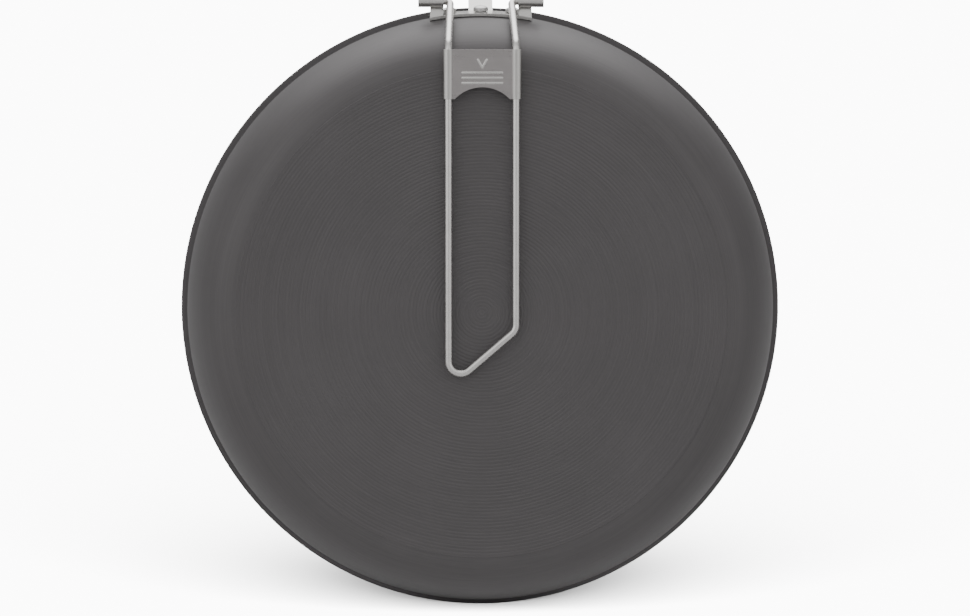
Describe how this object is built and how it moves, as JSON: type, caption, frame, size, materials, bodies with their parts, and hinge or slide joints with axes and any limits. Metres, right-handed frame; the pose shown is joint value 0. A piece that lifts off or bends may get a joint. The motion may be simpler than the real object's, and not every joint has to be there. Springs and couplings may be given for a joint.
{
  "type": "frying pan",
  "caption": "Round camping frying pan with a ridged base, shown standing on its rim, with a wire handle folded against the base and a sliding lock sleeve.",
  "frame": {"origin": "on the floor below the middle of the object's box: the lowest point of the rim is at z = 0, and the pan's axis is at x = 0, z = 0.125", "axes": "the pan stands on its rim with its axis along Y: -Y is out of the base, +Y is out of the pan's mouth, +Z runs from the pan's middle to the handle's bracket, and +X is to the right when the base is looked at"},
  "size_m": [0.25, 0.0713, 0.2718],
  "materials": {
    "anodised_aluminium": "hard anodised, satin, with turned ridges on the base",
    "nonstick_coating": "dark fluoropolymer non-stick coating, fine speckle, on the inside of the pan",
    "stainless_sheet": "satin stainless steel sheet",
    "rivet": "satin stainless steel",
    "stainless_wire": "drawn stainless steel wire, satin"
  },
  "bodies": {
    "pan": {"pan_body": "anodised_aluminium", "bracket": "stainless_sheet", "rivet_center": "rivet", "rivet_left": "rivet", "rivet_right": "rivet"},
    "handle": {"handle_wire": "stainless_wire"},
    "slider": {"lock_slider": "stainless_sheet"}
  },
  "joints": [
    {"name": "handle_fold", "type": "hinge", "parent": "pan", "child": "handle", "pos_m": [0, 0.0008, 0.2521], "axis": [-1, 0, 0], "range_deg": [0, 180]},
    {"name": "lock_slide", "type": "slide", "parent": "handle", "child": "slider", "axis": [0, 0, -1], "range_m": [-0.004, 0.09]}
  ]
}
